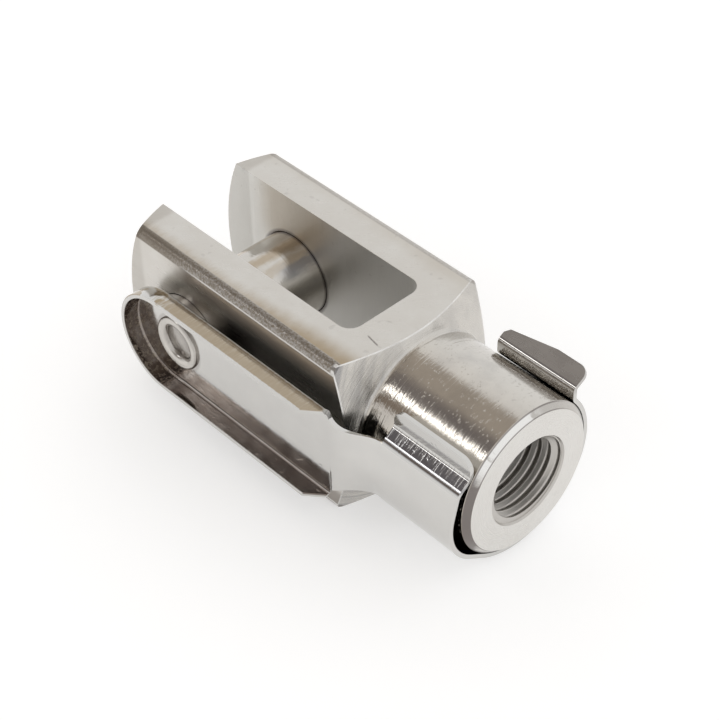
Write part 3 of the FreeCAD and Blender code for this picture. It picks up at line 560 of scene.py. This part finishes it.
def make_clip_plating():
    material, w, shader = new_metal("clip_bright_sheet")
    place = w.millimetres()
    x, y, z = w.split(place)
    lines = w.group(HAIRLINES, Place=place, Fineness=5.0)
    handled = w.group(HANDLING, Place=place, Size=3.2)
    waves = w.noise(w.stretched(place, (1.0, 1.0, 0.6)), 0.32, 1.0)
    dimples = w.noise(place, 1.5, 2.0, 0.5)
    cut = w.math("MINIMUM", w.add(w.rise(y, -13.54, -13.57), w.rise(z, 7.62, 7.66)), 1.0)
    round_pin = w.length(x, z)
    round_end = w.length(w.add(x, CHANNEL_SETBACK), z)
    shade = w.colour(w.times(handled["Smudges"], 0.25), CHROME, PALE_NICKEL)

    # Film: streaky gold on top of the upper flange. Inside the channel, on its lower flange and its
    # rounded end, painted shade in blotchy dark brown.
    ragged = w.span(w.noise(w.stretched(place, (2.6, 0.5, 0.5)), 1.6, 2.0), -0.5, 0.5)
    combed = w.noise(w.stretched(place, (3.0, 0.30, 1.0), (0, 0, -20)), 1.5, 3.0, 0.65)
    upper = w.times(
        w.rise(z, 5.95, 6.08), w.rise(w.add(y, w.times(ragged, 0.8)), -11.6, -11.9),
        w.rise(w.add(y, w.times(ragged, 0.15)), -13.50, -13.38),
        w.rise(w.add(x, w.times(ragged, 6.0)), -2.5, 1.0), w.rise(x, 24.0, 23.0),
    )
    patches = w.times(
        w.rise(w.noise(place, 0.55, 2.0), 0.52, 0.58), w.rise(round_end, 6.00, 6.10),
        w.rise(z, 2.0, 4.0), w.rise(x, 0.0, -1.0), w.rise(y, -11.4, -11.8),
    )
    paled = w.times(w.rise(combed, 0.40, 0.70), w.span(w.rise(y, -12.9, -11.9), 0.2, 0.75))
    gilded = w.colour(paled, GOLDEN, STRAW)
    shade = w.colour(w.times(w.add(upper, patches), 0.92), shade, gilded)
    in_channel = w.band(y, *CHANNEL_DEPTH)
    floor_side = w.times(w.band(z, *LOWER_WALL), w.rise(x, -1.0, 0.5))
    end_wall = w.times(w.band(round_end, *END_WALL), w.rise(x, 0.0, -CHANNEL_SETBACK))
    blotches = w.noise(place, 1.0, 3.0, 0.6)
    blotchy_shade_share = w.times(w.rise(blotches, 0.42, 0.70), w.span(end_wall, 0.22, 0.8))
    painted_channel_shade = w.colour(blotchy_shade_share, UMBER, DULL_NICKEL)
    channel_shade_share = w.times(in_channel, w.add(w.times(floor_side, 0.95), w.times(end_wall, 0.9)))
    # Painted shade in blotchy dark brown inside the channel.
    shade = w.colour(channel_shade_share, shade, painted_channel_shade)
    worn = w.rise(w.noise(place, 2.3, 3.0, 0.65), 0.50, 0.60)
    shade = w.colour(w.times(in_channel, end_wall, worn, 0.75), shade, STRAW)
    # Painted shadow: umber on the web and the channel's walls below and left of the pin's head, and
    # a faint shadow ring round the head.
    down_left = w.add(w.times(x, -0.75), w.times(z, -0.66), w.span(blotches, -1.2, 1.2))
    painted_corner_shadow = w.times(
        w.rise(round_pin, 3.15, 3.5), w.rise(round_end, 5.9, 5.4), w.rise(down_left, 1.4, 3.4),
        w.rise(y, *CHANNEL_SIDE),
    )
    painted_ring_shadow = w.times(w.band(round_pin, 3.05, 3.25, 3.4, 3.75), w.rise(y, *CHANNEL_SIDE))
    shade = w.colour(w.times(w.add(painted_corner_shadow, w.times(painted_ring_shadow, 0.4)), 0.75), shade, UMBER)
    tab = w.times(w.rise(y, 6.0, 7.0), w.rise(z, 6.5, 7.0))
    shade = w.colour(w.times(tab, 0.5), shade, DULL_NICKEL)

    # The slope beside the neck, drawn over a worn tool: a dark comb that rises from its lower edge.
    slope = w.times(
        w.band(z, 3.9, 4.1, 5.3, 5.6), w.rise(y, -6.8, -7.0), w.rise(x, 28.9, 29.0),
    )
    comb = w.noise(w.stretched(place, (4.4, 0.30, 0.30)), 1.3, 2.0, 0.6)
    climbing = w.add(w.times(w.add(z, -4.0), 0.55), w.span(comb, -0.85, 0.85))
    shade = w.colour(w.times(slope, w.rise(climbing, 0.75, 0.30), 0.7), shade, SLATE)
    w.feed(shader.inputs["Base Color"], shade)
    rough = w.add(
        w.span(lines["Lines"], 0.05, 0.13),
        w.times(handled["Smudges"], 0.04),
        w.times(cut, 0.16),
        w.times(in_channel, end_wall, worn, 0.30),
    )
    w.feed(shader.inputs["Roughness"], rough)
    height = w.add(
        w.times(comb, slope, w.rise(climbing, 0.30, 0.80), -0.7),
        w.times(waves, w.span(floor_side, 1.4, 0.5)),
        w.times(dimples, w.span(floor_side, 0.30, 0.10)),
        w.times(lines["Lines"], 0.10),
        w.times(lines["Scratches"], -0.08),
        w.times(handled["Nicks"], -0.35),
    )
    w.feed(shader.inputs["Normal"], w.bump(height, 0.010))
    return material


fork_plating = make_fork_plating()
pin_plating = make_pin_plating()
clip_plating = make_clip_plating()
clip_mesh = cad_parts["spring_clip"].data
clip_mesh.materials.clear()
clip_mesh.materials.append(clip_plating)


# Fork with broken edges and a cut thread ----------------------------------------------------

# The bore's mouth is its rim on the neck's end, and its zone is where no edge is broken.
BORE_RADIUS = 4.375 * MM
MOUTH_RADIUS = 5.20 * MM
THREAD_ROOT = 5.00 * MM
THREAD_PITCH = 1.25 * MM
THREAD_SEAT = 5.06 * MM
THREAD_TURN = math.radians(26)
THREAD_END = 20.875 * MM
NECK_END = 40.0 * MM
MOUTH_DEPTH = 0.22 * MM
BORE_START = 20.825 * MM
EDGE_BREAK = 0.14 * MM
NEAR_PLANE = 0.01 * MM
BORE_SLACK = 0.2 * MM
BORE_ZONE_RADIUS = 5.3 * MM
BORE_ZONE_START = 19.9 * MM
SHARP_FROM = math.radians(38)
SHARP_TO = math.radians(125)
SMOOTH_BELOW = math.radians(30)
FLAT_BELOW = math.radians(0.3)
FACES_ALONG = 0.95
WELD = 1e-7
THREAD_WELD = 0.002 * MM
THREAD_STEPS = 64
THREAD_TURNS = 17
THREAD_PROFILE = [
    (0.00, 0.00), (0.10, 0.02), (0.22, 0.18), (0.38, 0.78), (0.44, 0.97), (0.50, 1.00),
    (0.56, 0.97), (0.62, 0.78), (0.78, 0.18), (0.90, 0.02), (1.00, 0.00),
]


def off_axis(point):
    return math.hypot(point.y, point.z)


def make_thread():
    """The wall of the threaded bore, cut square at both ends and flared out at the mouth."""
    bm = bmesh.new()
    start = BORE_START - THREAD_PITCH
    depth = THREAD_ROOT - BORE_RADIUS
    corners = [
        bm.verts.new((start + share * THREAD_PITCH, THREAD_ROOT - height * depth, 0))
        for share, height in THREAD_PROFILE
    ]
    edges = [bm.edges.new(pair) for pair in zip(corners, corners[1:])]
    bmesh.ops.spin(
        bm, geom=corners + edges, cent=(0, 0, 0), axis=(1, 0, 0),
        dvec=(THREAD_PITCH / THREAD_STEPS, 0, 0), angle=math.tau * THREAD_TURNS,
        steps=THREAD_STEPS * THREAD_TURNS,
    )
    bmesh.ops.remove_doubles(bm, verts=bm.verts, dist=THREAD_WELD)
    for place, side in ((NECK_END - MOUTH_DEPTH, 1), (THREAD_END, -1)):
        cut = bmesh.ops.bisect_plane(
            bm, geom=bm.verts[:] + bm.edges[:] + bm.faces[:], dist=1e-8,
            plane_co=(place, 0, 0), plane_no=(side, 0, 0), clear_outer=True,
        )
        rim = [part for part in cut["geom_cut"] if isinstance(part, bmesh.types.BMEdge)]
        if side > 0:
            made = bmesh.ops.extrude_edge_only(bm, edges=rim)
            for part in made["geom"]:
                if isinstance(part, bmesh.types.BMVert):
                    grow = THREAD_SEAT / off_axis(part.co)
                    part.co.y *= grow
                    part.co.z *= grow
    turned = Matrix.Rotation(THREAD_TURN, 3, "X")
    bmesh.ops.rotate(bm, verts=bm.verts, cent=(0, 0, 0), matrix=turned)
    return bm


def rim_at(bm, place):
    """Open edges that lie in the plane across the bar at this place."""
    return [
        edge for edge in bm.edges
        if edge.is_boundary and all(abs(vert.co.x - place) < NEAR_PLANE for vert in edge.verts)
    ]


def merged_copy(node):
    """The CAD node's mesh as a welded bmesh."""
    bm = bmesh.new()
    bm.from_mesh(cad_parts[node].data)
    bmesh.ops.remove_doubles(bm, verts=bm.verts, dist=WELD)
    return bm


def join_flats(bm):
    bmesh.ops.dissolve_limit(
        bm, angle_limit=FLAT_BELOW, verts=bm.verts, edges=bm.edges,
        use_dissolve_boundaries=False, delimit=set(),
    )
    bm.normal_update()


def break_edges(bm, edges, reach, segments=2):
    bmesh.ops.bevel(
        bm, geom=edges, offset=reach, offset_type="OFFSET", affect="EDGES",
        segments=segments, profile=0.5, material=-1, clamp_overlap=True,
    )


def finish_copy(bm, name, node, body, material):
    """Turns a worked copy of a CAD node into the piece that is shown in the node's place."""
    bmesh.ops.remove_doubles(bm, verts=bm.verts, dist=WELD)
    bmesh.ops.recalc_face_normals(bm, faces=bm.faces)
    for face in bm.faces:
        face.smooth = True
    for edge in bm.edges:
        edge.smooth = edge.calc_face_angle(0) < SMOOTH_BELOW
    mesh = bpy.data.meshes.new(name)
    bm.to_mesh(mesh)
    bm.free()
    for left_over in ("custom_normal", "sharp_face"):
        if left_over in mesh.attributes:
            mesh.attributes.remove(mesh.attributes[left_over])
    mesh.materials.clear()
    mesh.materials.append(material)
    piece = add_object(name, mesh)
    weighted = piece.modifiers.new("even_shading", "WEIGHTED_NORMAL")
    weighted.keep_sharp = True
    weighted.weight = 50
    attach(piece, body)
    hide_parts(node)


def dress_fork():
    bm = merged_copy("fork_body")
    bore_wall = [
        face for face in bm.faces
        if all(off_axis(vert.co) < MOUTH_RADIUS + NEAR_PLANE for vert in face.verts)
        and all(vert.co.x > BORE_START - BORE_SLACK for vert in face.verts)
        and abs(face.normal.x) < FACES_ALONG
    ]
    bmesh.ops.delete(bm, geom=bore_wall, context="FACES")
    join_flats(bm)
    break_edges(bm, [
        edge for edge in bm.edges
        if not edge.is_boundary
        and SHARP_FROM < edge.calc_face_angle(0) < SHARP_TO
        and not all(
            off_axis(vert.co) < BORE_ZONE_RADIUS and vert.co.x > BORE_ZONE_START
            for vert in edge.verts
        )
    ], EDGE_BREAK)
    thread = make_thread()
    thread_mesh = bpy.data.meshes.new("thread_wall")
    thread.to_mesh(thread_mesh)
    thread.free()
    bm.from_mesh(thread_mesh)
    bpy.data.meshes.remove(thread_mesh)
    for fork_rim, thread_rim in ((NECK_END, NECK_END - MOUTH_DEPTH), (BORE_START, THREAD_END)):
        bmesh.ops.bridge_loops(bm, edges=rim_at(bm, fork_rim) + rim_at(bm, thread_rim))
    finish_copy(bm, "fork_dressed", "fork_body", "fork", fork_plating)


# Pin with a rounded bowl in its swaged head and a broken edge at its far end -----------------

SWAGE_FACE = -12.05 * MM
BOWL_RIM = (1.8 * MM, 2.0 * MM)
BOWL_ROUNDING = 0.74 * MM
FAR_END = 10.6 * MM
FAR_RIM = (4.0 * MM, 4.4 * MM)


def dress_pin():
    bm = merged_copy("clevis_pin")
    join_flats(bm)

    def rim(place, low, high):
        return [
            edge for edge in bm.edges
            if all(
                abs(vert.co.y - place) < NEAR_PLANE
                and low < math.hypot(vert.co.x, vert.co.z) < high
                for vert in edge.verts
            )
            and edge.calc_face_angle(0) > SHARP_FROM
        ]

    break_edges(bm, rim(SWAGE_FACE, *BOWL_RIM), BOWL_ROUNDING, 7)
    break_edges(bm, rim(FAR_END, *FAR_RIM), EDGE_BREAK)
    finish_copy(bm, "pin_dressed", "clevis_pin", "clip", pin_plating)


dress_fork()
dress_pin()


# Stage, light and camera --------------------------------------------------------------------

FLOOR_HALF_WIDTH = 1.5
FLOOR_COLOUR = (0.74, 0.74, 0.74, 1)
FLOOR_LIFT = 0.42


def make_floor():
    low = cad_box[0]
    bm = bmesh.new()
    bmesh.ops.create_grid(bm, x_segments=1, y_segments=1, size=FLOOR_HALF_WIDTH)
    bmesh.ops.translate(bm, verts=bm.verts, vec=(0, 0, low[2]))
    mesh = bpy.data.meshes.new("floor")
    bm.to_mesh(mesh)
    bm.free()
    floor = add_object("floor", mesh)
    material, w, shader = new_material("pale_floor")
    shader.inputs["Base Color"].default_value = FLOOR_COLOUR
    shader.inputs["Roughness"].default_value = 0.9
    shader.inputs["Specular IOR Level"].default_value = 0.0
    shader.inputs["Emission Color"].default_value = WHITE
    path = w.node("ShaderNodeLightPath")
    seen = w.math("MAXIMUM", path.outputs["Is Camera Ray"], path.outputs["Is Glossy Ray"])
    seen = w.math("MAXIMUM", seen, path.outputs["Is Transmission Ray"])
    w.feed(shader.inputs["Emission Strength"], w.times(seen, FLOOR_LIFT))
    mesh.materials.append(material)


CEILING_SPOT = (-0.268, -0.155, 0.951)
CEILING_SPOT_REACH = 32.0
CEILING_SPOT_SOFT = 4.0
CEILING_COLOUR = (0.50, 0.455, 0.41, 1)
LAMP_SIDE = (-0.50, -0.58, 0.64)
LAMP_SURROUND = (0.24, 0.22, 0.22, 1)
SURROUND_EDGE = (math.cos(math.radians(30)), math.cos(math.radians(12)))
LAMP_DISTANCE = 0.5
LAMP_SIZE = (0.16, 0.05)
LAMP_POWER = 0.085
LOW_SHADE_SIDE = (-0.56, -0.83, 0)
LOW_SHADE_HEIGHT = (0.32, 0.38, 0.53, 0.58)
LOW_SHADE_EDGE = (0.68, 0.80)
LOW_SHADE_COLOUR = (0.30, 0.25, 0.21, 1)


def make_world():
    """White where it is seen, with a dim patch of ceiling above and a dim band under the lamp."""
    world = bpy.data.worlds.new("studio")
    w = emptied(world)
    path = w.node("ShaderNodeLightPath")
    direction = w.node("ShaderNodeTexCoord").outputs["Generated"]

    def towards(side):
        made = w.node("ShaderNodeVectorMath", operation="DOT_PRODUCT")
        w.feed(made.inputs[0], direction)
        made.inputs[1].default_value = Vector(side).normalized()
        return made.outputs["Value"]

    inner = math.cos(math.radians(CEILING_SPOT_REACH - CEILING_SPOT_SOFT))
    outer = math.cos(math.radians(CEILING_SPOT_REACH + CEILING_SPOT_SOFT))
    spot = w.rise(towards(CEILING_SPOT), outer, inner)
    unseen = w.inverse(path.outputs["Is Camera Ray"])
    spot = w.times(spot, unseen)
    surround = w.rise(towards(LAMP_SIDE), *SURROUND_EDGE)
    ceiling = w.colour(surround, CEILING_COLOUR, LAMP_SURROUND)
    height = w.split(direction)[2]
    low_shade = w.times(
        w.band(height, *LOW_SHADE_HEIGHT), w.rise(towards(LOW_SHADE_SIDE), *LOW_SHADE_EDGE), unseen,
    )
    background = w.node("ShaderNodeBackground")
    seen = w.colour(low_shade, w.colour(spot, WHITE, ceiling), LOW_SHADE_COLOUR)
    w.feed(background.inputs["Color"], seen)
    background.inputs["Strength"].default_value = 1.0
    output = w.node("ShaderNodeOutputWorld")
    w.feed(output.inputs["Surface"], background.outputs[0])
    scene.world = world


def add_lamp(name, towards, distance, size, power):
    lamp = bpy.data.lights.new(name, "AREA")
    lamp.shape = "RECTANGLE"
    lamp.size, lamp.size_y = size
    lamp.energy = power
    lamp_object = add_object(name, lamp)
    place = Vector(towards).normalized() * distance
    lamp_object.location = place
    lamp_object.rotation_euler = place.to_track_quat("Z", "Y").to_euler()


CAMERA_PLACE = Vector((125.72, -100.86, 135.84)) * MM
CAMERA_AZIMUTH = 47.45
CAMERA_ELEVATION = 42.25
CAMERA_ROLL = -1.196
CAMERA_LENS = 95.84


def add_camera():
    camera = bpy.data.cameras.new("photo_camera")
    camera.lens = CAMERA_LENS
    camera.sensor_width = 36.0
    camera.clip_start = 0.005
    camera_object = add_object("photo_camera", camera)
    facing = Euler((math.radians(90 - CAMERA_ELEVATION), 0, math.radians(CAMERA_AZIMUTH)))
    roll = Matrix.Rotation(math.radians(CAMERA_ROLL), 4, "Z")
    camera_object.matrix_world = (
        Matrix.Translation(CAMERA_PLACE) @ facing.to_matrix().to_4x4() @ roll
    )
    scene.camera = camera_object


make_floor()
make_world()
add_lamp("strip_lamp", LAMP_SIDE, LAMP_DISTANCE, LAMP_SIZE, LAMP_POWER)
add_camera()
